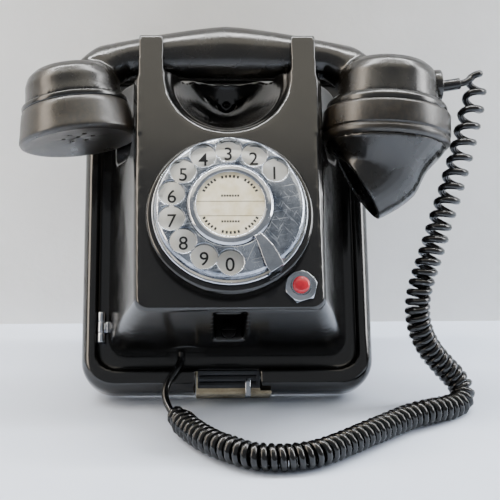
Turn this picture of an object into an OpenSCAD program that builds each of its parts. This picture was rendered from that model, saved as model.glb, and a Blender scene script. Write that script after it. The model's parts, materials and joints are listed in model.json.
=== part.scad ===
// Rotary wall telephone with a hinged case, a dial and a handset on two cradle arms.
// Frame: X to the right, Y into the wall, Z up. The origin is the centre of the four
// wall screws on the back plate's rear face, which is the plane Y = 0.

/* [Back plate] */
// Width of the back plate
plate_w = 164; // [156:1:176]
// Height of the back plate
plate_h = 196; // [190:1:210]
// Depth of the back plate from the wall to the front of its rim
plate_d = 22; // [20:1:26]
// Height of the raised rim above the plate's floor
rim_h = 4; // [3:0.5:5]
// Distance between wall screws, across
wall_hole_x = 100; // [90:1:104]
// Distance between wall screws, up and down
wall_hole_z = 130; // [120:1:134]

/* [Case] */
// Width of the case where it meets the back plate
case_w = 133; // [130:1:135]
// Height of the case where it meets the back plate
case_h = 156; // [154:1:158]
// Distance from the wall to the case's face at the dial
face_d = 88; // [86:1:90]
// Lean of the face and dial towards the wall, in degrees
face_tilt = 5; // [4:0.5:6]
// Wall thickness of the mouldings
wall = 3; // [2.5:0.1:3.5]

/* [Dial] */
// Height of the dial's centre above the origin
dial_z = -18; // [-20:1:-16]
// Diameter of the finger wheel
wheel_d = 76.5; // [74:0.5:78]
// Diameter of a finger hole
finger_hole_d = 13.2; // [12.5:0.1:14]
// Angle of the hole for 1, counted from the right, in degrees
first_hole = 40; // [38:1:42]
// Angle from one finger hole to the next, in degrees
hole_step = 25.5; // [25:0.1:26]

/* [Handset] */
// Height of the handle's flat underside above the origin
handle_z = 70.5; // [70.5:0.1:71]
// Distance from the wall to the handle's axis
handle_y = 64; // [63.5:0.1:64.5]
// Radius of the ear cap at its rim
ear_r = 32.2; // [31:0.1:32.4]
// Radius of the transmitter cap
mouth_r = 35.6; // [34:0.1:36]

/* [Curly cord] */
// Outer diameter of the curls
curl_d = 14.5; // [13:0.5:15]
// Diameter of the cord itself
cord_d = 4; // [3.6:0.1:4.2]

/* [Hidden] */
$fn = 64;

black = [0.07, 0.07, 0.075];
chrome = [0.8, 0.8, 0.82];
brass = [0.75, 0.6, 0.3];
eps = 0.01;

floor_y = -(plate_d - rim_h);       // the plate's floor, which the case closes on
skirt_y = floor_y - 5;              // where the case's upright skirt ends
gap = 0.3;                          // air between pieces that move past each other
hinge_x = -70.5;
hinge_y = -21;
hinge_z = [-62, 56];                // middle height of the two hinges
hinge_len = 17;
knuckle_r = 2.3;
pin_r = 1.1;
roof_z = 67;                        // top edge of the case's face
face_bottom_z = -66;
arm_in = 34.7;                      // inner and outer faces of the cradle arms
arm_out = 48.3;
arm_top = 89.5;
saddle_r = 12.4;
saddle_z = 82.4;
scoop_z = 66;                       // centre of the finger scoop's round lip
scoop_r = 32.5;
scoop_depth = 40;
ear_pos = [-83.6, -66.4, 53.6];       // centre of each cup's open end
mouth_pos = [87.9, -66.4, 47.2];
cup_lean = 6;                       // both cups lean this far towards the wall, in degrees
ear_toe = 7.5;                      // and this far towards the middle
mouth_toe = -3.7;                   // negative: the other cup mirrors it
screw_z = -69;                      // the cover screw's height
notch_y = [-45, -88];               // rear and front of the screw's recess
button_pos = [35.6, -37.5];         // on the face, from the dial's centre
outlet = [-26, -24];                // X and Y of the cord where it leaves the case
pinion_angle = 135;
module_mm = 0.75;                   // gear tooth size
gear_teeth = 48;
pinion_teeth = 12;
gear_centres = module_mm * (gear_teeth + pinion_teeth) / 2;
lever_x = 32.2;
lever_pivot = [-42, 55];

function face_y(z) = -face_d + (z - dial_z) * tan(face_tilt);

// ---------- helpers ----------

// A rounded rectangle in the drawing plane
module rrect(w, h, r) {
    square([w - 2 * r, h], center = true);
    square([w, h - 2 * r], center = true);
    for (x = [-1, 1], y = [-1, 1]) translate([x * (w / 2 - r), y * (h / 2 - r)]) circle(r);
}

// A rounded rectangular slab from depth y0 forward to y1
module slab(y0, y1, w, h, r) {
    translate([0, y0, 0]) rotate([90, 0, 0]) linear_extrude(y0 - y1) rrect(w, h, r);
}

// A box given by its two corners
module box(a, b) { translate(a) cube(b - a); }

// A cylinder along Y from depth y0 forward to y1
module rod_y(x, z, r, y0, y1) {
    translate([x, y0, z]) rotate([90, 0, 0]) cylinder(r = r, h = y0 - y1);
}

// Draws children on the case's face: x right, y up the face, z outwards, at the dial
module on_face() {
    translate([0, -face_d, dial_z]) rotate([90 - face_tilt, 0, 0]) children();
}

// Draws children in a side view: x is Y, y is Z, and the extrusion runs along X
module side_view(x) { translate([x, 0, 0]) rotate([90, 0, 90]) children(); }

// Draws children in a cup's own frame, with its axis up
module in_cup(p, toe) { translate(p) rotate([cup_lean, -toe, 0]) children(); }

// A solid through a list of rings, each going counter-clockwise about the way they follow
module loft(rings) {
    n = len(rings[0]);
    m = len(rings);
    sides = [for (i = [0:m - 2], j = [0:n - 1])
        [i * n + j, (i + 1) * n + j, (i + 1) * n + (j + 1) % n, i * n + (j + 1) % n]];
    ends = [[for (j = [0:n - 1]) j], [for (j = [n - 1:-1:0]) (m - 1) * n + j]];
    polyhedron(points = [for (r = rings, p = r) p], faces = concat(sides, ends));
}

function unit(v) = v / norm(v);
function direction(p, i) = unit(p[min(i + 1, len(p) - 1)] - p[max(i - 1, 0)]);

// The side directions of a tube, carried along its route so that it never twists
function sideways(p, i) =
    let (d = direction(p, i), s = i == 0 ? [0, 1, 0] : sideways(p, i - 1))
    unit(s - d * (s * d));

function tube_ring(p, i, r, n) =
    let (d = direction(p, i), u = sideways(p, i), v = cross(d, u))
    [for (j = [0:n - 1]) p[i] + r * (cos(360 * j / n) * u + sin(360 * j / n) * v)];

// A round tube along a route of points
module tube(route, r, n) { loft([for (i = [0:len(route) - 1]) tube_ring(route, i, r, n)]); }

// A gear in the drawing plane, with a tooth or a gap on the X axis
module gear_2d(teeth, start) {
    pitch_r = module_mm * teeth / 2;
    step = 360 / teeth;
    root = pitch_r - 0.95 * module_mm;
    tip = pitch_r + 0.7 * module_mm;
    polygon([for (i = [0:teeth - 1], k = [[-0.3, root], [-0.13, tip], [0.13, tip], [0.3, root]])
        let (a = (start + i + k[0]) * step) k[1] * [cos(a), sin(a)]]);
}

// ---------- back plate and what is fixed to it ----------

module back_plate() color(black) difference() {
    union() {
        difference() {
            hull() {
                slab(0, -1, plate_w - 1, plate_h - 1, 17.5);
                slab(-1.5, -14, plate_w, plate_h, 18);
                slab(-14, -18, plate_w - 1.5, plate_h - 1.5, 17.5);
                slab(-18, -20.6, plate_w - 5, plate_h - 5, 16);
                slab(-20.6, -plate_d, plate_w - 9, plate_h - 9, 14);
            }
            slab(floor_y, -plate_d - 1, 147, 172, 11);
            slab(1, floor_y + 4, 152, 184, 12);
        }
        for (x = [-1, 1], z = [-1, 1])
            rod_y(x * wall_hole_x / 2, z * wall_hole_z / 2, 7, 0, floor_y + 3.9);
        rod_y(0, 0, 7, 0, floor_y + 3.9);
    }
    for (x = [-1, 1], z = [-1, 1])
        rod_y(x * wall_hole_x / 2, z * wall_hole_z / 2, 2.3, 1, floor_y - 1);
    rod_y(0, -50, 4, 1, floor_y - 1);
    box([-18, -plate_d - 1, -plate_h / 2 - 1], [18, 1, -86.5]);
}

module hinge_plate_leaves() color(chrome) for (z = hinge_z) difference() {
    for (s = [-1, 1]) translate([0, 0, z + s * 5.9]) {
        translate([hinge_x, hinge_y, -2.6]) cylinder(r = knuckle_r, h = 5.2);
        box([-73, floor_y - 1.8, -2.6], [hinge_x, floor_y, 2.6]);
    }
    translate([hinge_x, hinge_y, z - 12]) cylinder(r = pin_r + 0.05, h = 24);
}

module hinge_pins() color(chrome) for (z = hinge_z)
    translate([hinge_x, hinge_y, z - hinge_len / 2]) cylinder(r = pin_r, h = hinge_len);

module cable_entry_block() color([0.16, 0.17, 0.2]) difference() {
    box([-17.8, -20, -96.5], [17.8, -2, -86.7]);
    for (z = [-93.5, -90]) box([-16, -21, z - 1], [16, -15, z + 1]);
    translate([0, -9, -97]) cylinder(r = 3, h = 12);
}

module entry_sill() color([0.78, 0.75, 0.66]) difference() {
    union() {
        box([-17.8, -20.5, -98], [17.8, -2, -96.5]);
        box([-17.8, -21, -99.8], [24, -2, -98]);
        box([-17.8, -21.2, -96.5], [-16.8, -20, -87]);
    }
    translate([0, -9, -100]) cylinder(r = 3, h = 4);
}

module entry_clip() color(chrome) {
    box([9.5, -22.6, -101], [12.5, -21, -91]);
    box([9.5, -21, -101], [12.5, -12, -99.8]);
}

module latch_post() color(brass) difference() {
    rod_y(0, screw_z, 2.5, floor_y, -36);
    rod_y(0, screw_z, 1.5, -26, -37);
}

module ringer_frame() color([0.62, 0.62, 0.6]) {
    box([-21, floor_y - 2, -38], [21, floor_y, 36]);
    box([-21, -40, -38], [21, floor_y, -35]);
    for (x = [-1, 1]) box([x * 20 - 1, -36, -35], [x * 20 + 1, floor_y, -12]);
    box([-4, -36, -11], [4, -20, -8]);
    rod_y(0, -9.5, 1.1, -36, -39.6);
}

module ringer_coils() color([0.45, 0.2, 0.12]) for (x = [-1, 1]) {
    translate([x * 10, -30, -34.9]) cylinder(r = 8.6, h = 17);
    translate([x * 10, -30, -18]) cylinder(r = 3, h = 3);
}

// One gong, a shallow bell on a post
module gong(x) {
    translate([x, -23, 28]) rotate([90, 0, 0]) {
        rotate_extrude() polygon([[0, 9.5], [8, 9.5], [14, 8], [19, 4.5], [22, 0], [20.8, 0],
            [18, 3.2], [13.4, 6.5], [8, 8], [3, 8], [3, 0], [0, 0]]);
    }
}
module gong_left() color(brass) gong(-27);
module gong_right() color(brass) gong(27);

module gong_screws() color(chrome) for (x = [-27, 27]) {
    rod_y(x, 28, 2.6, floor_y, -23);
    rod_y(x, 28, 3.2, -32.5, -34.3);
}

module induction_coil() color([0.35, 0.16, 0.1]) translate([36, -29, -33]) {
    cylinder(r = 9, h = 34);
    for (z = [-1.6, 34]) translate([-10, -10, z]) cube([20, 20.9, 1.6]);
}

module capacitor() color([0.7, 0.7, 0.68])
    box([-51, -38, -46], [-29, floor_y, -8]);

module terminal_block() color([0.3, 0.16, 0.08]) difference() {
    box([-38, -32, -68], [-8, floor_y, -52]);
    for (i = [0:4]) translate([-34 + 5.5 * i, -32 - eps, -60]) rotate([-90, 0, 0])
        cylinder(r = 1.3, h = 8);
}

module terminal_screws() color(brass) for (i = [0:4]) rod_y(-34 + 5.5 * i, -60, 2.2, -32, -34);

module clapper() color(chrome) {
    difference() {
        union() {
            rod_y(0, -9.5, 2.6, -36.4, -39);
            box([-1, -39, -13.4], [1, -32.9, -11.6]);
            translate([0, -37.7, -7.4]) cylinder(r = 0.9, h = 34);
        }
        rod_y(0, -9.5, 1.15, -36, -40);
    }
    box([-14, -33, -13.4], [14, -27, -11.9]);
    translate([0, -37.7, 28]) sphere(r = 3.2);
    rod_y(0, 28, 1.2, -24, -36);
}

// ---------- case and what is fixed to it ----------

// Points round a rounded rectangle from [x0, z0] to [x1, z1], counter-clockwise from the front
function outline(x0, z0, x1, z1, r) = [for (c = [[x1 - r, z1 - r, 0], [x0 + r, z1 - r, 90],
    [x0 + r, z0 + r, 180], [x1 - r, z0 + r, 270]], a = [0:18:90])
    [c[0] + r * cos(c[2] + a), c[1] + r * sin(c[2] + a)]];

// The case's outer or inner form: grow is 0 outside and minus the wall inside
module case_form(grow) {
    w = case_w / 2 + grow;
    h = case_h / 2 + grow;
    foot = outline(-w, -h, w, h, 9 + grow);
    face = outline(-47 - grow, face_bottom_z - grow, 47 + grow, roof_z + grow, 7 + grow);
    loft([
        [for (p = foot) [p[0], floor_y - gap + (grow < 0 ? 1 : 0), p[1]]],
        [for (p = foot) [p[0], skirt_y, p[1]]],
        [for (p = face) let (x = p[0] * (1.01 + 0.0003 * (p[1] + 66)))
            [x + sign(x) * 1.2, face_y(p[1]) - grow + 2.2, p[1] + sign(p[1]) * 1.2]],
        [for (p = face) [p[0], face_y(p[1]) - grow, p[1]]]
    ]);
}

// The finger scoop below the handle, grown by the wall for the inside
module scoop(grow) {
    steps = 16;
    curve = [for (i = [1:steps]) let (d = scoop_depth * (1 - pow(1 - i / steps, 2)))
        [scoop_r * sqrt(1 - d / scoop_depth) + grow, -d]];
    lip = [[3.4, 0.2], [2.2, -0.5], [1.1, -1.5], [0.4, -2.8]];
    translate([0, face_y(scoop_z), scoop_z]) rotate([90 - face_tilt, 0, 0])
        rotate_extrude($fn = 96) polygon(concat([[0, 6], [scoop_r + 3.4 + grow, 6]],
            [for (p = lip) p + [scoop_r + grow, 0]], curve, [[0, -scoop_depth - grow]]));
}

// The hollow that each cup of the handset hangs in
module cup_hollow(x, r, grow) {
    round_r = 11;
    arc = [for (a = [0:15:90]) [r - round_r, 33] + round_r * [sin(a), -cos(a)]];
    translate([x, -65, 0]) rotate_extrude()
        polygon(concat([[0, 22 - grow]], [for (p = arc) p + [grow, -grow]],
            [[r + grow, 110], [0, 110]]));
}

module screw_recess(grow) {
    box([-8 - grow, notch_y[1] - grow, -95], [8 + grow, notch_y[0] + grow, -58 + grow]);
}

// One cradle arm's side view, with the saddle that the handle lies in
module arm_side() difference() {
    polygon([[face_y(30), 30], [face_y(arm_top - 1), arm_top - 1], [face_y(arm_top) + 0.8, arm_top],
        [-45.5, arm_top], [-44, arm_top - 1.5], [-33, 76], [-33, 30]]);
    translate([-handle_y, saddle_z]) circle(saddle_r);
    translate([-handle_y - saddle_r, saddle_z]) square([2 * saddle_r, 20]);
}

module front_cover() color(black) difference() {
    union() {
        difference() {
            case_form(0);
            scoop(0);
            translate([-60, -handle_y, saddle_z]) rotate([0, 90, 0]) cylinder(r = 14, h = 120);
        }
        for (x = [-arm_out, arm_in]) side_view(x) linear_extrude(arm_out - arm_in) arm_side();
    }
    difference() {
        case_form(-wall);
        scoop(wall);
        cup_hollow(-83, 34.6, wall);
        cup_hollow(87, 37.8, wall);
        screw_recess(wall);
    }
    cup_hollow(-83, 34.6, 0);
    cup_hollow(87, 37.8, 0);
    screw_recess(0);
    translate([0, floor_y + 1, 0]) rotate([-90, 0, 0]) cylinder(r = 200, h = 20);
    on_face() translate([0, 0, -10]) cylinder(r = 33.7, h = 20);
    on_face() translate([button_pos[0], button_pos[1], -10]) cylinder(r = 5.05, h = 20);
    translate([0, -30, screw_z]) rotate([90, 0, 0]) cylinder(r = 2.3, h = 20);
    translate([outlet[0] + 3, -25.5, -90]) cylinder(r = 10.5, h = 20);
    box([outlet[0] - 7.5, -25.5, -90], [outlet[0] + 13.5, 0, -70]);
    box([lever_x - 0.7, -77, 45], [arm_in, -38, 90]);
}

module hinge_cover_leaves() color(chrome) for (z = hinge_z) difference() {
    union() {
        translate([hinge_x, hinge_y, z - 3]) cylinder(r = knuckle_r, h = 6);
        box([hinge_x, hinge_y - 0.6, z - 3], [-67, hinge_y + 0.6, z + 3]);
        box([-67.4, skirt_y, z - 3], [-66.5, floor_y - 0.6, z + 3]);
    }
    translate([hinge_x, hinge_y, z - 12]) cylinder(r = pin_r + 0.05, h = 24);
}

module cover_screw() color([0.55, 0.52, 0.45]) difference() {
    union() {
        rod_y(0, screw_z, 3.8, -45, -48);
        rod_y(0, screw_z, 2.25, -41.4, -45.5);
    }
    box([-4, -49, screw_z - 0.6], [4, -46.8, screw_z + 0.6]);
}

module dial_base() color(black) on_face() difference() {
    rotate_extrude($fn = 96) polygon([[33.6, 0], [43, 0], [43, 6.5], [42.6, 8.2], [41.6, 9], [36, 9],
        [36, 4], [33.2, 4], [33.2, -4], [33.6, -4]]);
}

module dial_frame() color([0.72, 0.7, 0.6]) on_face() difference() {
    union() {
        translate([0, 0, -5.5]) cylinder(r = 33.4, h = 1.5);
        translate([0, 0, -9]) cylinder(r = 5, h = 5);
        translate([0, 0, -26]) cylinder(r = 5, h = 5);
        translate([0, 0, -26]) cylinder(r = 30, h = 1.5);
        for (a = [20, 200, 285]) rotate(a) translate([27.5, 0, -25]) cylinder(r = 2, h = 20);
    }
    translate([0, 0, -30]) cylinder(r = 2.55, h = 40);
    rotate(pinion_angle) translate([gear_centres, 0, -30]) cylinder(r = 1.25, h = 40);
}

module number_plate() color([0.93, 0.92, 0.86]) on_face() difference() {
    translate([0, 0, 9.1]) cylinder(r = 38.6, h = 1.2, $fn = 96);
    translate([0, 0, 8]) cylinder(r = 8, h = 4);
}

module number_plate_ring() color(chrome) on_face()
    rotate_extrude($fn = 96) polygon([[38.7, 9.1], [39.8, 9.1], [39.8, 12], [39.3, 12.6], [38.7, 12.6]]);

// A flat hook that reaches over the wheel from the dial's edge and stops the finger
module finger_stop() color(chrome) on_face() {
    translate([0, 0, 22]) linear_extrude(1.2) polygon([for (p = [[22, -47.5], [26, -46.8], [31, -47.4],
        [36, -49.2], [41.6, -51.5], [41.6, -62.5], [37, -63], [30, -60.8], [25, -58.4], [21.2, -57]])
        p[0] * [cos(p[1]), sin(p[1])]]);
    rotate(-57) translate([39.9, -3.6, 9]) cube([1.6, 7.2, 14.2]);
}

module governor_cup() color(chrome) on_face() rotate(pinion_angle)
    translate([gear_centres, 0, -24.5]) difference() {
        cylinder(r = 7.6, h = 6);
        translate([0, 0, 1]) cylinder(r = 6.8, h = 6);
        translate([0, 0, -1]) cylinder(r = 1.25, h = 4);
    }

module pulse_springs() color(brass) on_face() for (i = [0:3])
    translate([12 + 2.2 * i, -24, -24.5]) cube([0.5, 16, 5]);

module button_bush() color(chrome) on_face() translate([button_pos[0], button_pos[1], 0]) difference() {
    union() {
        translate([0, 0, -12]) cylinder(r = 4.95, h = 16.2);
        translate([0, 0, -5.1]) cylinder(r = 7, h = 2.1);
    }
    translate([0, 0, -8]) cylinder(r = 4.35, h = 14);
    translate([0, 0, -13]) cylinder(r = 1.6, h = 10);
}

module button_nut() color(chrome) on_face() translate([button_pos[0], button_pos[1], 0]) difference() {
    intersection() {
        rotate(15) cylinder(r = 9, h = 3.4, $fn = 6);
        translate([0, 0, -0.5]) cylinder(r1 = 10.4, r2 = 7.6, h = 4.4);
    }
    translate([0, 0, -1]) cylinder(r = 5.0, h = 6);
}

module push_button() color([0.72, 0.08, 0.13]) on_face() translate([button_pos[0], button_pos[1], 0]) {
    rotate_extrude() polygon([[0, -5], [4.3, -5], [4.3, 5.6], [4.0, 6.3], [3.2, 6.8], [0, 7.1]]);
    translate([0, 0, -13.5]) cylinder(r = 1.5, h = 9);
}

module button_switch() color([0.35, 0.2, 0.1]) on_face() translate([button_pos[0], button_pos[1], 0])
    difference() {
        translate([-6, -6, -24]) cube([12, 12, 12]);
        translate([0, 0, -19]) cylinder(r = 1.8, h = 8);
    }

module hook_bracket() color([0.62, 0.62, 0.6]) {
    for (x = [26, 35.4]) side_view(x) linear_extrude(x < 30 ? 4.6 : 1.6)
        polygon([[-48, 50], [-36, 50], [-36, 72.5], [-48, 70.3]]);
    side_view(30) linear_extrude(6) translate(lever_pivot) circle(1.5);
}

module hook_springs() color(brass) for (i = [0:2])
    box([26.6 + 1.5 * i, -47, 28 + 2 * i], [27 + 1.5 * i, -41, 50]);

module cradle_lever() color(chrome) side_view(lever_x) linear_extrude(1.8) difference() {
    polygon([[-74, 61], [-74, 66.5], [-71, 70.1], [-57, 70.1], [-45, 58.4], [-39, 58.4], [-39, 51.6],
        [-45, 51.6], [-58, 57]]);
    translate(lever_pivot) circle(1.55);
}

module cord_grommet() color([0.1, 0.1, 0.1]) difference() {
    union() {
        translate([outlet[0] + 3, -25.5, -76]) cylinder(r = 10.5, h = 5.5);
        box([outlet[0] - 7.5, -25.5, -76], [outlet[0] + 13.5, floor_y - gap, -70.5]);
    }
    box([-60, floor_y - gap, -80], [0, 0, -60]);
    translate([outlet[0], outlet[1], -73]) cylinder(r = cord_d / 2 + 0.2, h = 10);
}

// ---------- cord ----------

// Where the curls run, from the handset to the case
curl_route = [[140.6, -64.6, 76.5], [139.8, -64.2, 69.5], [138.2, -64, 61], [135, -64, 49],
    [131, -63, 34], [126.5, -62, 19], [121.5, -61, 4], [116.5, -59, -10], [112, -56, -24],
    [107.5, -53, -37], [104, -49, -49], [103.5, -44, -60], [106.5, -38, -70], [112, -32, -78],
    [119, -27, -85], [126, -23, -91.5], [130.5, -22, -99], [128, -26, -106], [119.5, -33, -110],
    [108.5, -40, -112.5], [96, -46, -116], [84, -54, -121], [70, -65, -127], [56, -75, -133],
    [42, -84, -138], [27, -87, -140], [11, -86, -139], [-3, -78, -134], [-14, -67, -128],
    [-23, -53, -120], [-30, -40, -112]];
top_tail = [[129.4, -67.6, 65.63], [132.3, -67.6, 66.14], [135.6, -67, 68.6], [138.8, -65.8, 72.4],
    [140.4, -64.8, 75]];
bottom_tail = [[-30, -39, -112], [-34, -33, -106], [-34.5, -30, -99], [-32, -28, -92],
    [-28, -26.5, -86], [-26, -24, -81], [-26, -24, -76]];

module curly_cord() color(black) tube(curl_route, curl_d / 2, 10);
module cord_tail_top() color(black) tube(top_tail, cord_d / 2, 8);
module cord_tail_bottom() color(black) tube(bottom_tail, cord_d / 2, 8);

// ---------- dial wheel and gears ----------

module finger_wheel() color(chrome) on_face() difference() {
    rotate_extrude($fn = 96) polygon([[2.5, 13.5], [4.4, 13.5], [4.4, 16.6], [35.6, 16.6], [35.6, 13.8],
        [38.25, 13.8], [38.25, 16.6], [37.6, 18.4], [36.4, 19.4], [34.8, 19.8], [22, 19.8], [22, 18.2],
        [2.5, 18.2]]);
    for (i = [0:9]) rotate(first_hole + hole_step * i)
        translate([0.79 * wheel_d / 2, 0, 10]) cylinder(r = finger_hole_d / 2, h = 12, $fn = 48);
}

module card_ring() color(chrome) on_face()
    rotate_extrude($fn = 96) polygon([[17.6, 18.3], [21.9, 18.3], [21.9, 20], [20.6, 21.2], [18.6, 21.6],
        [17.2, 21.2], [17.2, 20.2], [17.6, 20.2]]);

module dial_card() color([0.86, 0.84, 0.76]) on_face() translate([0, 0, 18.3]) cylinder(r = 17.5, h = 1.8);

module dial_shaft() color(chrome) on_face() translate([0, 0, -28]) cylinder(r = 2.5, h = 46.1);

module main_gear() color(brass) on_face() translate([0, 0, -16]) rotate(pinion_angle) linear_extrude(1.6)
    difference() {
        gear_2d(gear_teeth, 0);
        circle(2.5);
        for (a = [0:60:300]) rotate(a) translate([10.5, 0]) circle(3.4);
    }

module governor() color([0.7, 0.68, 0.62]) on_face() rotate(pinion_angle) translate([gear_centres, 0, 0]) {
    translate([0, 0, -17]) rotate(180) linear_extrude(3.6) gear_2d(pinion_teeth, 0.5);
    translate([0, 0, -27]) cylinder(r = 1.2, h = 22.5);
    translate([0, 0, -22.5]) cylinder(r = 3, h = 5.6);
    for (s = [-1, 1]) translate([s * 4.2, 0, -22.5]) cylinder(r = 1.6, h = 3);
}

// ---------- handset ----------

// The handle's top, bottom and width at a place along it: a low bow whose ends turn down
function handle_top(x) = let (a = abs(x))
    handle_z + 29.6 - 6.3 * pow(a / 43, 1.35) - 0.045 * pow(max(0, a - 67), 2);
function handle_bottom(x) = let (a = abs(x)) a < 52 ? handle_z : max(60, handle_z - 0.06 * pow(a - 52, 2));
function handle_w(x) = let (a = abs(x)) 25 - 3 * pow(min(a, 54) / 54, 1.2) + 0.5 * max(0, a - 56);

handle_x = [for (i = [-21:21]) sign(i) * (abs(i) < 9 ? 6.75 * abs(i) : 60.75 + 2 * (abs(i) - 9))];

module handle() {
    loft([for (x = handle_x) handle_ring(x)]);
}

function handle_ring(x) = let (t = handle_top(x), b = handle_bottom(x), w = handle_w(x))
    [for (a = [0:15:345]) [x, -handle_y + w / 2 * cos(a), (t + b) / 2 + (t - b) / 2 * sin(a)]];

// A cup of the handset: a round dome, open below, above the plane z = 0 of its frame
module cup(r, rise) {
    rotate_extrude($fn = 72) polygon([[0, rise], [r * 0.55, rise - 0.6], [r * 0.78, rise - 2.2],
        [r * 0.92, rise - 5.5], [r * 0.985, rise - 10], [r, rise - 15], [r + 1, 0], [0, 0]]);
}

module handset_shell() color(black) difference() {
    union() {
        handle();
        in_cup(ear_pos, ear_toe) cup(26, 20.5);
        in_cup(mouth_pos, mouth_toe) translate([0, 0, 6]) cup(27.5, 24.5);
    }
    in_cup(ear_pos, ear_toe) translate([0, 0, -eps]) cylinder(r = 23.6, h = 14);
    in_cup(mouth_pos, mouth_toe) translate([0, 0, 6 - eps]) cylinder(r = 24.5, h = 9);
}

module ear_ring() color(black) in_cup(ear_pos, ear_toe) rotate_extrude($fn = 72)
    polygon([[24, -3.4], [28.4, -3.4], [28.8, -2.6], [28.8, -0.8], [28.4, 0], [24, 0]]);

module ear_cap() color(black) in_cup(ear_pos, ear_toe) difference() {
    rotate_extrude($fn = 72) polygon([[24, -3.4], [28.6, -3.4], [29.4, -4.8], [30.2, -9], [31.2, -14.9],
        [ear_r - 0.2, -18.7], [ear_r, -20], [ear_r - 0.7, -21.4], [29.5, -22.2], [27, -21.7],
        [18, -19.5], [0, -18.6], [0, -14.9], [24, -14.9]]);
    for (a = [0:60:300]) rotate(a) translate([8, 0, -26]) cylinder(r = 1.3, h = 12, $fn = 16);
    translate([0, 0, -26]) cylinder(r = 1.3, h = 12, $fn = 16);
}

module receiver_capsule() color([0.7, 0.7, 0.7]) in_cup(ear_pos, ear_toe) {
    translate([0, 0, -14.8]) cylinder(r = 23.9, h = 11.4);
    translate([0, 0, -4]) cylinder(r = 23.2, h = 9);
    translate([0, 0, 4]) cylinder(r = 12, h = 7);
}

module transmitter_ring() color(black) in_cup(mouth_pos, mouth_toe) rotate_extrude($fn = 72)
    polygon([[26.4, 0.4], [33.2, 0.4], [33.2, 3.6], [31.6, 6], [26.4, 6]]);

module transmitter_cap() color(black) in_cup(mouth_pos, mouth_toe) rotate_extrude($fn = 72)
    polygon([[28, 0.4], [34.2, 0.4], [mouth_r - 0.6, -0.8], [mouth_r - 0.2, -11.8], [34.6, -12.4],
        [34.6, -13.3], [35.2, -13.9], [35, -16.2], [33.4, -17.8], [28, -17.8]]);

module transmitter_capsule() color([0.7, 0.7, 0.7]) in_cup(mouth_pos, mouth_toe) {
    translate([0, 0, -12]) cylinder(r = 25.6, h = 14);
    translate([0, 0, 1]) cylinder(r = 26.3, h = 5);
    translate([0, 0, 5]) cylinder(r = 12, h = 9);
}

// The horn's rings in the cup's frame: left and right ends of each in front view, half depth
horn_rings = [[[-33.3, -17.8], [33.3, -17.8], 33.3], [[-32.9, -19.2], [31.6, -20.4], 32.4],
    [[-32.2, -20.6], [28.6, -24.4], 29.6], [[-31, -21.9], [23.6, -30.1], 26],
    [[-29.8, -23], [20, -37.2], 22.6], [[-28.6, -23.9], [16.5, -44.6], 20],
    [[-27.4, -24.7], [7.5, -52.6], 18], [[-26.4, -25.4], [-2.5, -58.7], 16.5]];

// The horn's numbers at a place k between its rings, on a smooth curve
function horn_at(k) =
    let (i = min(floor(k), 6), t = k - i, n = 7, v = [for (j = [i - 1:i + 2])
            let (r = horn_rings[max(0, min(n, j))]) [r[0][0], r[0][1], r[1][0], r[1][1], r[2]]])
    0.5 * (2 * v[1] + t * (v[2] - v[0]) + t * t * (2 * v[0] - 5 * v[1] + 4 * v[2] - v[3])
        + t * t * t * (3 * v[1] - v[0] - 3 * v[2] + v[3]));

function horn_ring(k, inset) =
    let (q = horn_at(k), a = [q[0], q[1]], b = [q[2], q[3]], c = (a + b) / 2, h = (b - a) / 2,
         s = 1 - inset / norm(h), w = q[4] - inset)
    [for (t = [0:10:350]) [c[0] + s * h[0] * cos(t), 0.08 * (17.8 + c[1]) + w * sin(t),
        c[1] + s * h[1] * cos(t)]];

module mouth_horn() color(black) in_cup(mouth_pos, mouth_toe) difference() {
    loft([for (k = [7:-0.5:0]) horn_ring(k, 0)]);
    loft(concat([[for (p = horn_ring(7, 2.6)) p + [-3, 0, -2.2]]],
        [for (k = [7:-1:4]) horn_ring(k, 2.6)]));
}

module gland_flange() color(black) in_cup(mouth_pos, mouth_toe)
    translate([25.4, 0, 18.6]) rotate([0, 84, 0]) cylinder(r = 8.6, h = 4);

module gland_sleeve() color([0.12, 0.12, 0.12]) translate([117.9, -67.6, 63.6])
    rotate([0, 80, 0]) cylinder(r = 3.2, h = 11.6);

back_plate();
hinge_plate_leaves();
hinge_pins();
cable_entry_block();
entry_sill();
entry_clip();
latch_post();
ringer_frame();
ringer_coils();
gong_left();
gong_right();
gong_screws();
induction_coil();
capacitor();
terminal_block();
terminal_screws();
clapper();
front_cover();
hinge_cover_leaves();
cover_screw();
dial_base();
dial_frame();
number_plate();
number_plate_ring();
finger_stop();
governor_cup();
pulse_springs();
button_nut();
button_bush();
button_switch();
hook_bracket();
hook_springs();
cord_grommet();
curly_cord();
cord_tail_top();
cord_tail_bottom();
finger_wheel();
card_ring();
dial_card();
dial_shaft();
main_gear();
governor();
push_button();
cradle_lever();
handset_shell();
ear_ring();
ear_cap();
receiver_capsule();
transmitter_ring();
transmitter_cap();
mouth_horn();
transmitter_capsule();
gland_flange();
gland_sleeve();
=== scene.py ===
# %% [markdown]
# # Rotary wall telephone
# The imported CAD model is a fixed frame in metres: X right, Y into the wall, Z up.
# Mechanical parts keep their CAD shape. What the eye rests on gets its own mesh here: softened
# mouldings, chrome with rounded edges, printed digits and a real coiled cord.

import json
import math

import bmesh
import bpy
from mathutils import Matrix, Vector


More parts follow.
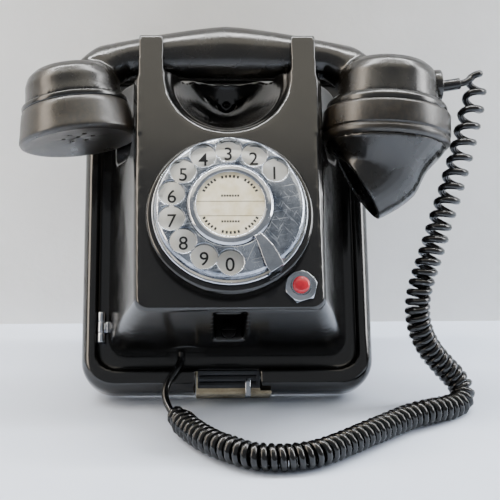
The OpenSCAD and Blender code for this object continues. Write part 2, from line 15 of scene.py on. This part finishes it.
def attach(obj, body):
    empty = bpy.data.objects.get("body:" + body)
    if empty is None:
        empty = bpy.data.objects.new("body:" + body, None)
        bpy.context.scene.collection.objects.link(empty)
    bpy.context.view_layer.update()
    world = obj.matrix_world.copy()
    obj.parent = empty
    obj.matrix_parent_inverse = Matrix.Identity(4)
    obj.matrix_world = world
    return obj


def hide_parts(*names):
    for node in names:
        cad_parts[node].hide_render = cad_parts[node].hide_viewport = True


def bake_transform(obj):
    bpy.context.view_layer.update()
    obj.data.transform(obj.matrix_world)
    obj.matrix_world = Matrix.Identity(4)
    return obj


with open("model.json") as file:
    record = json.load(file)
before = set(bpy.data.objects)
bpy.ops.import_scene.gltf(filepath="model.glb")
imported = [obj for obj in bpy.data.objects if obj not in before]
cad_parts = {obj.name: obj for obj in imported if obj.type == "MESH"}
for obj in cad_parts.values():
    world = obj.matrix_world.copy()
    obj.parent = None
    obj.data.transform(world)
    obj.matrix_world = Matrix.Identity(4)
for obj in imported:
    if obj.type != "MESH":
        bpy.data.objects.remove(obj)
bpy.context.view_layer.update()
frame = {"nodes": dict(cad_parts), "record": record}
nodes = frame["nodes"]
MM = 0.001

# %% [markdown]
# ## Camera
# The telephone stands leaning back on a table, seen slightly from its right and from below its
# own centre line. A real camera is a lens and a place, so the view is given as those: a long lens
# about 0.6 m away, with three axes worked out from its turn, its tilt and a slight roll.

# %% Camera
PLACE = Vector((-15.0, -668.7, -185.1)) * MM
TURN, TILT, ROLL = (math.radians(a) for a in (2.5, 14.5, -0.85))
forward = Vector((math.sin(TURN) * math.cos(TILT), math.cos(TURN) * math.cos(TILT), math.sin(TILT)))
level = forward.cross(Vector((0, 0, 1))).normalized()
upward = level.cross(forward)
right = level * math.cos(ROLL) + upward * math.sin(ROLL)
upward = upward * math.cos(ROLL) - level * math.sin(ROLL)
camera_data = bpy.data.cameras.new("camera")
camera_data.sensor_width, camera_data.lens = 36, 84.24
camera_data.clip_start, camera_data.clip_end = 0.02, 20
camera = bpy.data.objects.new("camera", camera_data)
turned = Matrix((right, upward, -forward)).transposed().to_4x4()
camera.matrix_world = Matrix.Translation(PLACE) @ turned
bpy.context.scene.collection.objects.link(camera)
bpy.context.scene.camera = camera
print("camera", tuple(round(c, 3) for c in PLACE), "m, lens", camera_data.lens, "mm")

# %% [markdown]
# ## Colours and the node helper
# Colours are written as sRGB hex, the way a paint chart gives them, and one function turns them
# into the linear values that a shader works in. One helper adds a node with settings and links.


# %% Helpers for materials
def colour(code):
    """An sRGB hex colour as linear RGBA."""
    parts = [int(code[i:i + 2], 16) / 255 for i in (1, 3, 5)]
    return tuple(c / 12.92 if c <= 0.04045 else ((c + 0.055) / 1.055) ** 2.4
                 for c in parts) + (1.0,)


def add(material, kind, **given):
    """Adds a node. Socket names take values or other nodes' outputs, other names are settings."""
    tree = material.node_tree
    node = tree.nodes.new("ShaderNode" + kind)
    for key, value in given.items():
        if not key.startswith("i_"):
            setattr(node, key, value)
    for key, value in given.items():
        if key.startswith("i_"):
            name = key[2:].replace("_", " ")
            socket = node.inputs[int(name)] if name.isdigit() else node.inputs[name]
            if isinstance(value, bpy.types.NodeSocket):
                tree.links.new(value, socket)
            else:
                socket.default_value = value
    return node


def start(name):
    """A new material emptied of nodes, and Object coordinates to draw patterns on."""
    material = bpy.data.materials.new(name)
    material.use_nodes = True
    material.node_tree.nodes.clear()
    return material, add(material, "TexCoord").outputs["Object"]


def end(material, shader):
    """Joins the shader to the material's output."""
    out = add(material, "OutputMaterial")
    material.node_tree.links.new(shader.outputs[0], out.inputs["Surface"])
    return material


def ramp(material, source, *stops):
    """A colour ramp with the given (position, colour or grey) stops."""
    node = add(material, "ValToRGB", i_Fac=source)
    elements = node.color_ramp.elements
    while len(elements) < len(stops):
        elements.new(0.5)
    for element, (place, value) in zip(elements, stops):
        element.position = place
        element.color = colour(value) if isinstance(value, str) else (value, value, value, 1)
    return node.outputs["Color"]


def noise(material, where, size_mm, detail=4, rough=0.55, stretch=None):
    """Noise whose blobs are about size_mm across."""
    if stretch:
        where = add(material, "Mapping", i_Vector=where, i_Scale=stretch).outputs[0]
    return add(material, "TexNoise", i_Vector=where, i_Scale=0.6 / (size_mm * MM), i_Detail=detail,
               i_Roughness=rough).outputs["Fac"]


def relief(material, height, depth_mm, strength=1.0, under=None):
    """Bump of a real depth in millimetres."""
    given = {"i_Height": height, "i_Distance": depth_mm * MM, "i_Strength": strength}
    if under:
        given["i_Normal"] = under
    return add(material, "Bump", **given).outputs["Normal"]


print("material helpers ready")

# %% [markdown]
# ## Mouldings
# The case, the plate and the handset are phenolic (Bakelite), pressed hot in steel moulds. Black
# phenolic is a deep gloss where the mould was polished, and years of dusting leave hair scratches
# and duller patches. The handset is touched every day, so it is duller and browner in patches, and
# its two caps are pitted. The sizes below are in millimetres, the tints run from deep to worn.


# %% Phenolic mouldings
def phenolic(name, deep, worn, patch_mm, shine, dull, scratch, grain_mm=0.5):
    """A pressed moulding: patchy tint, smeared gloss, hair scratches over a fine grain."""
    material, where = start(name)
    patches = noise(material, where, patch_mm, 5, 0.6)
    tint = ramp(material, patches, (0.35, deep), (0.72, worn))
    hairs = noise(material, where, 2.2, 3, 0.7, stretch=(1, 1, 0.08))
    smears = noise(material, where, 14, 4, 0.6)
    gloss = ramp(material, smears, (0.3, shine), (0.75, dull))
    fine = noise(material, where, grain_mm, 2)
    under = relief(material, hairs, 0.02, scratch)
    bumpy = relief(material, fine, 0.03, scratch, under)
    shader = add(material, "BsdfPrincipled", i_Base_Color=tint, i_Roughness=gloss, i_Normal=bumpy,
                 i_IOR=1.6)
    return end(material, shader)


BLACK = phenolic("black phenolic, polished mould", "#060606", "#0d0c0b", 22, 0.12, 0.24, 0.10)
HANDLED = phenolic("black phenolic, worn by hands", "#080706", "#14110c", 9, 0.2, 0.34, 0.35, 0.8)
ROUGHENED = phenolic("black phenolic, pitted by age", "#070605", "#241d13", 1.3, 0.24, 0.42, 0.6,
                     0.9)
RINGS = phenolic("black phenolic, turned and buffed", "#0b0b0a", "#161513", 9, 0.16, 0.28, 0.2)
BROWN = phenolic("brown fabric-filled phenolic", "#26140b", "#3a2113", 3, 0.45, 0.6, 0.6)
GREY = phenolic("dark grey moulded rubber", "#1c2027", "#2b3038", 5, 0.35, 0.6, 0.5)
print("mouldings", [m.name for m in (BLACK, HANDLED, ROUGHENED, RINGS, BROWN, GREY)])

# %% [markdown]
# ## Metals
# The dial's bright parts are brass with nickel and chrome plating, buffed in circles and then
# scratched by fingertips. Inside, steel is zinc plated and matt. A metal's colour is its base
# colour at full metallic, and the rest of its look is how rough it is and in which direction.


# %% Metals
def metal(name, light, dark, patch_mm, fine, coarse, scratch, stretch=None):
    """A metal with cloudy tint and polish. A stretch draws the polish out along one axis."""
    material, where = start(name)
    tint = ramp(material, noise(material, where, patch_mm, 5, 0.6), (0.3, dark), (0.65, light))
    rough = ramp(material, noise(material, where, 4, 4, 0.7, stretch), (0.3, fine), (0.75, coarse))
    bumpy = relief(material, noise(material, where, 0.6, 3, 0.7, stretch), 0.02, scratch)
    shader = add(material, "BsdfPrincipled", i_Base_Color=tint, i_Metallic=1.0, i_Roughness=rough,
                 i_Normal=bumpy)
    return end(material, shader)


CHROME = metal("chrome plate on brass, buffed", "#c4c7cd", "#8f949c", 12, 0.08, 0.2, 0.15)


# Real hair scratches are a hundredth of a millimetre wide. These are as wide as will still show.
SCRATCH_WIDTH, SCRATCH_STRETCH, SCRATCH_TURNS = 0.6, 25, (25, 80, -40)


def scratched(name, light, dark):
    """Chrome crossed by hair scratches in three directions, with cloudier, darker patches."""
    material, where = start(name)
    lines = None
    for turn_deg in SCRATCH_TURNS:
        laid = add(material, "Mapping", vector_type="TEXTURE", i_Vector=where,
                   i_Rotation=(0, math.radians(turn_deg), 0),
                   i_Scale=(1, 1, SCRATCH_STRETCH)).outputs[0]
        hair = noise(material, laid, SCRATCH_WIDTH, 2, 0.6)
        thin = ramp(material, hair, (0.62, 0.0), (0.68, 1.0))
        if lines:
            thin = add(material, "Math", operation="MAXIMUM", i_0=lines, i_1=thin).outputs[0]
        lines = thin
    cloud = noise(material, where, 9, 5, 0.65)
    tint = ramp(material, cloud, (0.35, dark), (0.62, light))
    rough = ramp(material, cloud, (0.35, 0.26), (0.65, 0.1))
    rough = add(material, "Math", operation="MULTIPLY_ADD", i_0=lines, i_1=0.25,
                i_2=rough).outputs[0]
    bumpy = relief(material, lines, 0.02, 0.5)
    shader = add(material, "BsdfPrincipled", i_Base_Color=tint, i_Metallic=1.0, i_Roughness=rough,
                 i_Normal=bumpy)
    return end(material, shader)


WORN_CHROME = scratched("chrome plate, scratched by fingertips", "#b9bfc9", "#4f5764")
# Painted shade: the cover screw is a real part, but its near-black colour stands in for the shade
# inside the recess it sits in.
RECESS_SHADE_STEEL = metal("dark steel, painted recess shade", "#2a2928", "#171615", 3, 0.35, 0.5, 0.4)
ZINC = metal("zinc-plated steel", "#b3b2aa", "#8c8b84", 6, 0.3, 0.45, 0.3)
BRASS = metal("brass sheet", "#cfae6a", "#a98443", 8, 0.22, 0.4, 0.2)
CAN = metal("spun aluminium can", "#c9cacb", "#a9abad", 8, 0.25, 0.4, 0.3, (1, 1, 0.1))
print("metals", [m.name for m in (CHROME, WORN_CHROME, RECESS_SHADE_STEEL, ZINC, BRASS, CAN)])

# %% [markdown]
# ## Enamel, card, plastic, wire and cord
# The number plate is vitreous enamel, slightly creamy with a faint orange peel. The card in the
# middle is yellowed paper. The cord's jacket is PVC, which shines softly along each turn.


# %% Other finishes
def coated(name, base, stain, patch_mm, shine, dull, grain_mm, depth_mm, coat=0.0):
    """A finish with stains in patches and a fine grain of a real depth."""
    material, where = start(name)
    tint = ramp(material, noise(material, where, patch_mm, 5, 0.6), (0.32, stain), (0.6, base))
    gloss = ramp(material, noise(material, where, 6, 3), (0.3, shine), (0.75, dull))
    bumpy = relief(material, noise(material, where, grain_mm, 3), depth_mm, 0.5)
    shader = add(material, "BsdfPrincipled", i_Base_Color=tint, i_Roughness=gloss, i_Normal=bumpy,
                 i_Coat_Weight=coat)
    return end(material, shader)


def wound(name, light, dark, wire_mm):
    """A winding: turns of enamelled wire, one ridge for each, with painted shade darkening the
    grooves between turns.
    """
    material, where = start(name)
    turns = add(material, "TexWave", bands_direction="Z", i_Vector=where,
                i_Scale=0.314 / (wire_mm * MM), i_Distortion=0.4).outputs["Fac"]
    # Painted shade: the ramp darkens each groove between turns, where shade falls. The wire itself
    # is one colour.
    tint = ramp(material, turns, (0.1, dark), (0.7, light))
    bumpy = relief(material, turns, wire_mm / 2, 0.8)
    shader = add(material, "BsdfPrincipled", i_Base_Color=tint, i_Roughness=0.35, i_Normal=bumpy)
    return end(material, shader)


ENAMEL = coated("vitreous enamel, cream white", "#f7f6f0", "#efece0", 7, 0.12, 0.22, 1.2, 0.01, 0.3)
PAPER = coated("yellowed dial card", "#d9d2bd", "#c6b992", 5, 0.55, 0.7, 0.35, 0.02)
INK = coated("black printing ink", "#161616", "#202020", 2, 0.4, 0.55, 0.4, 0.005)
RED = coated("red urea plastic, moulded", "#b01527", "#8d0d1c", 3, 0.18, 0.3, 0.8, 0.01, 0.4)
CREAM = coated("cream lacquer on sheet steel", "#a89f88", "#7d735f", 5, 0.35, 0.5, 0.7, 0.02)
JACKET = coated("black PVC cord jacket", "#060607", "#0b0b0b", 4, 0.16, 0.28, 0.5, 0.02)
WINDING = wound("enamelled copper wire, shade painted between turns", "#9a4a22", "#4f1f0d", 0.3)
print("finishes", [m.name for m in (ENAMEL, PAPER, INK, RED, CREAM, JACKET, WINDING)])

# %% [markdown]
# ## Which part has which finish
# Each CAD node takes its material by name. Several are replaced below by a softer mesh of the same
# shape, which carries the same finish.

# %% Finishes of the parts
finish_of = {
    BLACK: ["back_plate", "front_cover", "dial_base"],
    HANDLED: ["handset_shell", "mouth_horn", "gland_flange"],
    ROUGHENED: ["ear_cap", "transmitter_cap"],
    RINGS: ["ear_ring", "transmitter_ring"],
    JACKET: ["gland_sleeve", "cord_grommet", "curly_cord", "cord_tail_top", "cord_tail_bottom"],
    CHROME: ["hinge_plate_leaves", "hinge_pins", "hinge_cover_leaves", "entry_clip", "button_bush",
             "number_plate_ring", "finger_stop", "card_ring", "button_nut"],
    WORN_CHROME: ["finger_wheel"],
    ZINC: ["ringer_frame", "hook_bracket", "cradle_lever", "dial_frame", "dial_shaft", "clapper",
           "governor_cup", "gong_screws"],
    # The cover screw's near-black finish is painted shade of its recess.
    RECESS_SHADE_STEEL: ["cover_screw"],
    BRASS: ["latch_post", "gong_left", "gong_right", "terminal_screws", "pulse_springs",
            "hook_springs", "main_gear", "governor"],
    ENAMEL: ["number_plate"],
    PAPER: ["dial_card"],
    RED: ["push_button"],
    BROWN: ["terminal_block", "button_switch"],
    GREY: ["cable_entry_block"],
    CREAM: ["entry_sill"],
    WINDING: ["ringer_coils", "induction_coil"],
    CAN: ["capacitor", "receiver_capsule", "transmitter_capsule"],
}
material_of = {node: material for material, names in finish_of.items() for node in names}
body_of = {n: b for b, names in frame["record"]["behaviour"]["bodies"].items() for n in names}
for name, part in nodes.items():
    part.data.materials.clear()
    part.data.materials.append(material_of[name])
print(len(nodes), "CAD parts have a finish")


# %% [markdown]
# ## Softened edges
# No pressed or plated part has a knife edge: light runs along a small round. Metal parts take a
# narrow bevel on every sharp edge. Mouldings are rounder, and a handle flows into its cups, so
# they are remeshed into even small faces and smoothed, which melts every join a little.

# %% Helpers for shapes
def place(mesh, name, node, *also):
    """Puts a finished mesh in the scene for a CAD node, with its finish, slot and body."""
    piece = bpy.data.objects.new(name, mesh)
    bpy.context.scene.collection.objects.link(piece)
    mesh.materials.clear()
    mesh.materials.append(material_of[node])
    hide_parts(node, *also)
    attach(piece, body_of[node])
    print(name, len(mesh.polygons), "faces")
    return piece


def shade(mesh, degrees):
    """Smooth shading that breaks at edges sharper than the given angle."""
    mesh.polygons.foreach_set("use_smooth", [True] * len(mesh.polygons))
    mesh.set_sharp_from_angle(angle=math.radians(degrees))


def bevelled(node, name, width_mm, segments=2, sharp=28):
    """A copy of a CAD part with its sharp edges rounded."""
    bm = bmesh.new()
    bm.from_mesh(nodes[node].data)
    bmesh.ops.remove_doubles(bm, verts=bm.verts, dist=0.002 * MM)
    bmesh.ops.dissolve_limit(bm, angle_limit=math.radians(0.6), verts=bm.verts, edges=bm.edges)
    edges = [e for e in bm.edges if e.is_manifold and e.calc_face_angle(0) > math.radians(sharp)]
    bmesh.ops.bevel(bm, geom=edges, offset=width_mm * MM, segments=segments, profile=0.5,
                    affect="EDGES", material=-1, clamp_overlap=True)
    bmesh.ops.recalc_face_normals(bm, faces=bm.faces)
    mesh = bpy.data.meshes.new(name)
    bm.to_mesh(mesh)
    bm.free()
    shade(mesh, 40)
    return place(mesh, name, node)


def melted(node, name, voxel_mm, rounds):
    """A copy of a CAD part remeshed into small even faces and smoothed."""
    mesh = nodes[node].data.copy()
    mesh.name = name
    bm = bmesh.new()
    bm.from_mesh(mesh)
    bmesh.ops.remove_doubles(bm, verts=bm.verts, dist=0.002 * MM)
    bm.to_mesh(mesh)
    bm.free()
    helper = bpy.data.objects.new("helper", mesh)
    bpy.context.scene.collection.objects.link(helper)
    remesh = helper.modifiers.new("remesh", "REMESH")
    remesh.mode, remesh.voxel_size, remesh.adaptivity = "VOXEL", voxel_mm * MM, 0
    remesh.use_smooth_shade = True
    smooth = helper.modifiers.new("smooth", "SMOOTH")
    smooth.factor, smooth.iterations = 0.5, rounds
    graph = bpy.context.evaluated_depsgraph_get()
    made = bpy.data.meshes.new_from_object(helper.evaluated_get(graph), depsgraph=graph)
    made.name = name
    bpy.data.objects.remove(helper)
    made.polygons.foreach_set("use_smooth", [True] * len(made.polygons))
    return place(made, name, node)


print("shape helpers ready")

# %% [markdown]
# ## The case, the plate and the handset
# These are the big mouldings. The voxel size is a little under the radius of their edges, so each
# edge keeps about three faces across its round.

# %% Big mouldings
for node, name, voxel_mm, rounds in (
        ("front_cover", "case_moulding", 0.95, 5), ("back_plate", "plate_moulding", 1.1, 6),
        ("handset_shell", "handset_moulding", 0.8, 10), ("mouth_horn", "horn_moulding", 0.6, 8),
        ("cord_grommet", "grommet_moulding", 0.5, 3)):
    melted(node, name, voxel_mm, rounds)

# %% Chrome parts with rounded holes and edges
for node, voxel_mm in (("finger_wheel", 0.42), ("card_ring", 0.3), ("finger_stop", 0.3),
                       ("button_nut", 0.25)):
    melted(node, node + "_plated", voxel_mm, 3)

# %% [markdown]
# ## Turned and plated parts
# Rings, caps, leaves and the smaller mouldings keep their crisp CAD shape, with a narrow round
# along every sharp edge.

# %% Small parts with rounded edges
for node, width in (("ear_cap", 0.5), ("transmitter_cap", 0.5), ("ear_ring", 0.5),
                    ("transmitter_ring", 0.6), ("gland_flange", 0.6), ("gland_sleeve", 0.5),
                    ("dial_base", 0.5), ("number_plate_ring", 0.2), ("push_button", 0.4),
                    ("hinge_plate_leaves", 0.2), ("hinge_cover_leaves", 0.2),
                    ("cable_entry_block", 0.4), ("entry_sill", 0.4), ("entry_clip", 0.4),
                    ("cover_screw", 0.3), ("cradle_lever", 0.3)):
    bevelled(node, node + "_finished", width)

# %% [markdown]
# ## Digits and the card
# The digits are enamelled on the plate under each finger hole, and show through the holes. They
# are made as flat text, turned into a mesh and laid on the plate, so they are exact at any zoom.
# The card in the middle has two ruled lines for the subscriber's number. Its notices are drawn as
# short strokes: two rows, and an arc above and below.

# %% Digits
DIAL = Vector((0, -88, -18)) * MM
LEAN = math.radians(5)
on_face = Matrix.Translation(DIAL) @ Matrix.Rotation(math.radians(90) - LEAN, 4, "X")
HOLE_RADIUS, FIRST_HOLE, HOLE_STEP = 30.22, 40, 25.5
PLATE_TOP, CARD_TOP = 10.3, 20.12
DIGIT_SIZE, DIGIT_RISE, INK_THICK, INK_SPREAD = 10.2, 1.7, 0.05, 0.05


def flat_text(text, size_mm, x_mm, y_mm, height_mm):
    """A digit as a thin mesh, centred at a place on the dial's face."""
    curve = bpy.data.curves.new("text", "FONT")
    curve.body, curve.size, curve.extrude = text, size_mm * MM, INK_THICK * MM
    curve.align_x, curve.align_y = "CENTER", "CENTER"
    curve.offset = INK_SPREAD * MM
    curve.resolution_u = 6
    holder = bpy.data.objects.new("text", curve)
    bpy.context.scene.collection.objects.link(holder)
    graph = bpy.context.evaluated_depsgraph_get()
    mesh = bpy.data.meshes.new_from_object(holder.evaluated_get(graph), depsgraph=graph)
    bpy.data.objects.remove(holder)
    low = Vector((min(v.co.x for v in mesh.vertices), min(v.co.y for v in mesh.vertices), 0))
    high = Vector((max(v.co.x for v in mesh.vertices), max(v.co.y for v in mesh.vertices), 0))
    middle = (low + high) / 2
    spot = Matrix.Translation(Vector((x_mm, y_mm, height_mm)) * MM)
    mesh.transform(on_face @ spot @ Matrix.Translation(-middle))
    return mesh


def join(meshes, name):
    """One mesh from several."""
    bm = bmesh.new()
    for mesh in meshes:
        bm.from_mesh(mesh)
        bpy.data.meshes.remove(mesh)
    bmesh.ops.recalc_face_normals(bm, faces=bm.faces)
    joined = bpy.data.meshes.new(name)
    bm.to_mesh(joined)
    bm.free()
    return joined


def put(mesh, name, material, body):
    """Puts a new piece in the scene that stands for no CAD part."""
    piece = bpy.data.objects.new(name, mesh)
    bpy.context.scene.collection.objects.link(piece)
    mesh.materials.clear()
    mesh.materials.append(material)
    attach(piece, body)
    print(name, len(mesh.polygons), "faces")
    return piece


digits = []
for i, digit in enumerate("1234567890"):
    angle = math.radians(FIRST_HOLE + HOLE_STEP * i)
    digits.append(flat_text(digit, DIGIT_SIZE, HOLE_RADIUS * math.cos(angle),
                            HOLE_RADIUS * math.sin(angle) + DIGIT_RISE, PLATE_TOP + INK_THICK))
put(join(digits, "dial_digits"), "dial_digits", INK, "case")


# %% Card print
def bar(x0, x1, y, thick):
    """A thin ruled line on the card."""
    bm = bmesh.new()
    bmesh.ops.create_cube(bm, size=1)
    bmesh.ops.scale(bm, vec=Vector((x1 - x0, thick, 0.06)) * MM, verts=bm.verts)
    bmesh.ops.translate(bm, vec=Vector(((x0 + x1) / 2, y, CARD_TOP)) * MM, verts=bm.verts)
    bmesh.ops.transform(bm, matrix=on_face, verts=bm.verts)
    mesh = bpy.data.meshes.new("bar")
    bm.to_mesh(mesh)
    bm.free()
    return mesh


RULES = ((17.2, 1.6), (16.6, -6.2))
ROW_HALF, ROW_STROKES, ROW_HEIGHTS = 4.6, 7, (4.6, -9.2)
ARC_RADIUS, ARC_STROKES, ARC_STEP, ARC_GAPS = 15.1, 17, 7.6, (5, 11)

prints = [bar(-half, half, y, 0.22) for half, y in RULES]
for y in ROW_HEIGHTS:
    for k in range(ROW_STROKES):
        prints.append(bar(ROW_HALF * (k - 3.4) / 3.4, ROW_HALF * (k - 2.7) / 3.4, y, 1.1))
for middle_deg in (90, 270):
    for k in set(range(ARC_STROKES)).difference(ARC_GAPS):
        around = math.radians(middle_deg + (k - (ARC_STROKES - 1) / 2) * ARC_STEP)
        outward = Matrix.Rotation(around - math.pi / 2, 4, "Z")
        stroke = bar(-0.55, 0.55, ARC_RADIUS, 1.5)
        stroke.transform(on_face @ outward @ on_face.inverted())
        prints.append(stroke)
put(join(prints, "card_print"), "card_print", INK, "dial")

# %% [markdown]
# ## The curly cord
# A curly cord is a straight cord wound on a rod and heated until it keeps the turns. So it is
# built as that: a round strand following a helix, whose own middle line is the route the coil
# takes. The route's points are the CAD's. The strand leaves the handset's sleeve straight, winds
# along the route and ends in a straight tail that enters the case.

# %% Cord
STRAND, CURL = 4.0, 14.5
LOOSE_TURN, MID_TURN, TIGHT_TURN = 11.5, 6.2, 4.3    # from turn to turn: hung, loose, at rest
top_tail = [(129.4, -67.6, 65.63), (132.3, -67.6, 66.14), (135.6, -67, 68.6),
            (138.8, -65.8, 72.4)]
curl_route = [(140.6, -64.6, 76.5), (139.8, -64.2, 69.5), (138.2, -64, 61), (135, -64, 49),
              (131, -63, 34), (126.5, -62, 19), (121.5, -61, 4), (116.5, -59, -10),
              (112, -56, -24), (107.5, -53, -37), (104, -49, -49), (103.5, -44, -60),
              (106.5, -38, -70), (112, -32, -78), (119, -27, -85), (126, -23, -91.5),
              (130.5, -22, -99), (128, -26, -106), (119.5, -33, -110), (108.5, -40, -112.5),
              (96, -46, -116), (84, -54, -121), (70, -65, -127), (56, -75, -133),
              (42, -84, -138), (27, -87, -140), (11, -86, -139), (-3, -78, -134),
              (-14, -67, -128), (-23, -53, -120), (-30, -40, -112)]
bottom_tail = [(-34, -33, -106), (-34.5, -30, -99), (-32, -28, -92), (-28, -26.5, -86),
               (-26, -24, -81), (-26, -24, -76)]


def smooth_line(points, step):
    """Points every step millimetres along a smooth curve through the given points."""
    p = [Vector(q) for q in points]
    p = [2 * p[0] - p[1]] + p + [2 * p[-1] - p[-2]]
    fine = []
    for i in range(1, len(p) - 2):
        for k in range(24):
            t = k / 24
            fine.append(0.5 * (2 * p[i] + (p[i + 1] - p[i - 1]) * t
                               + (2 * p[i - 1] - 5 * p[i] + 4 * p[i + 1] - p[i + 2]) * t * t
                               + (3 * p[i] - p[i - 1] - 3 * p[i + 1] + p[i + 2]) * t ** 3))
    fine.append(p[-2])
    out, carried = [fine[0]], 0.0
    for a, b in zip(fine, fine[1:]):
        length = (b - a).length
        while carried + length >= step:
            a = a + (b - a) * ((step - carried) / length)
            out.append(a)
            length = (b - a).length
            carried = 0.0
        carried += length
    return out


def line_length(points):
    """The length of a line through the points, in millimetres."""
    return sum((b - a).length for a, b in zip(points, points[1:]))


PER_TURN, STEP, HANGING = 18, 0.2, 150
middle = smooth_line(curl_route, STEP)
side, turn, last = Vector((0, 1, 0)), 0.0, 0.0
strand, mean, whole = [], (CURL - STRAND) / 2, line_length(middle)
for i, here in enumerate(middle):
    ahead = (middle[min(i + 1, len(middle) - 1)] - middle[max(i - 1, 0)]).normalized()
    side = (side - ahead * side.dot(ahead)).normalized()
    across = ahead.cross(side)
    done = whole * i / (len(middle) - 1)
    stretch = max(0.0, 1 - done / HANGING)
    pitch = TIGHT_TURN + (MID_TURN - TIGHT_TURN) * min(1.0, stretch * 2.5)
    pitch += (LOOSE_TURN - MID_TURN) * stretch ** 1.5
    turn += 2 * math.pi * STEP / pitch
    share = min(1.0, done / 5, (whole - done) / 5)
    if not strand or turn - last > 2 * math.pi / PER_TURN:
        spoke = side * math.cos(turn) + across * math.sin(turn)
        strand.append(here + spoke * mean * share ** 0.5)
        last = turn
path = smooth_line(top_tail, 1.0) + strand[5:-5] + smooth_line(bottom_tail, 1.0)
for _ in range(3):
    for i in list(range(1, 40)) + list(range(len(path) - 60, len(path) - 1)):
        path[i] = (path[i - 1] + 2 * path[i] + path[i + 1]) / 4
print("strand", round(line_length(path)), "mm,", round(turn / (2 * math.pi)), "turns")


# %% Cord as a tube
def tube(points, radius, sides, name):
    """A round tube along points in millimetres, carried along without twisting."""
    curve = bpy.data.curves.new(name, "CURVE")
    curve.dimensions, curve.bevel_depth = "3D", radius * MM
    curve.bevel_resolution, curve.use_fill_caps = sides // 4 - 1, True
    curve.twist_mode = "MINIMUM"
    spline = curve.splines.new("POLY")
    spline.points.add(len(points) - 1)
    for point, target in zip(spline.points, points):
        point.co = tuple(target * MM) + (1.0,)
    holder = bpy.data.objects.new(name, curve)
    bpy.context.scene.collection.objects.link(holder)
    graph = bpy.context.evaluated_depsgraph_get()
    mesh = bpy.data.meshes.new_from_object(holder.evaluated_get(graph), depsgraph=graph)
    bpy.data.objects.remove(holder)
    shade(mesh, 60)
    return mesh


cord_mesh = tube(path, STRAND / 2, 12, "handset_cord")
cord = bpy.data.objects.new("handset_cord", cord_mesh)
bpy.context.scene.collection.objects.link(cord)
cord_mesh.materials.append(JACKET)
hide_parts("curly_cord", "cord_tail_top", "cord_tail_bottom")
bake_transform(cord)

# %% [markdown]
# ## Table, wall and light
# The telephone stands on a pale table and leans back towards a white wall. In the telephone's own
# frame the table therefore slopes. Broad soft lamps give black phenolic its form, because a black
# gloss surface shows only what it reflects.

# %% Table and wall
PALE = coated("matt white lacquered table", "#d5deee", "#cdd8ea", 120, 0.55, 0.65, 3, 0.02)
PLASTER = coated("white plaster", "#f2f2f0", "#eaeae8", 60, 0.8, 0.9, 4, 0.35)
SLOPE = math.radians(30)
FOOT = Vector((0, 111, -34)) * MM
table_along = Vector((0, math.cos(SLOPE), math.sin(SLOPE)))
wall_up = Vector((0, -math.sin(SLOPE), math.cos(SLOPE)))


def panel(name, origin, across, along, material):
    """A flat rectangle from origin, running both ways across and one way along."""
    bm = bmesh.new()
    bmesh.ops.create_grid(bm, x_segments=1, y_segments=1, size=1)
    for v in bm.verts:
        v.co = origin + across * v.co.x + along * (v.co.y + 1) / 2
    mesh = bpy.data.meshes.new(name)
    bm.to_mesh(mesh)
    bm.free()
    mesh.materials.append(material)
    piece = bpy.data.objects.new(name, mesh)
    bpy.context.scene.collection.objects.link(piece)
    return piece


panel("table_top", FOOT, Vector((1.6, 0, 0)), table_along * -1.7, PALE)
panel("wall", FOOT, Vector((1.6, 0, 0)), wall_up * 1.5, PLASTER)

# %% Lamps
world = bpy.data.worlds.new("room")
bpy.context.scene.world = world
world.use_nodes = True
world.node_tree.nodes["Background"].inputs["Color"].default_value = colour("#dfe3e8")
world.node_tree.nodes["Background"].inputs["Strength"].default_value = 0.55


def lamp(name, place_mm, target_mm, wide, tall, watts, tint="#ffffff"):
    """A rectangular softbox at a place, aimed at another."""
    data = bpy.data.lights.new(name, "AREA")
    data.shape, data.size, data.size_y = "RECTANGLE", wide, tall
    data.energy, data.color = watts, colour(tint)[:3]
    light = bpy.data.objects.new(name, data)
    bpy.context.scene.collection.objects.link(light)
    light.location = Vector(place_mm) * MM
    aim = Vector(target_mm) * MM - light.location
    light.rotation_euler = aim.to_track_quat("-Z", "Y").to_euler()


lamp("front_softbox", (-80, -760, 740), (0, -60, 20), 1.9, 0.6, 5.5, "#fff6e0")
lamp("top_softbox", (0, -200, 900), (0, 230, 60), 1.5, 0.5, 165)
lamp("left_softbox", (-760, -420, 260), (0, -60, 0), 0.3, 0.9, 7, "#fff0dc")
lamp("right_softbox", (820, -240, 420), (80, 40, 0), 0.3, 0.8, 12)
print("stage and lamps ready")
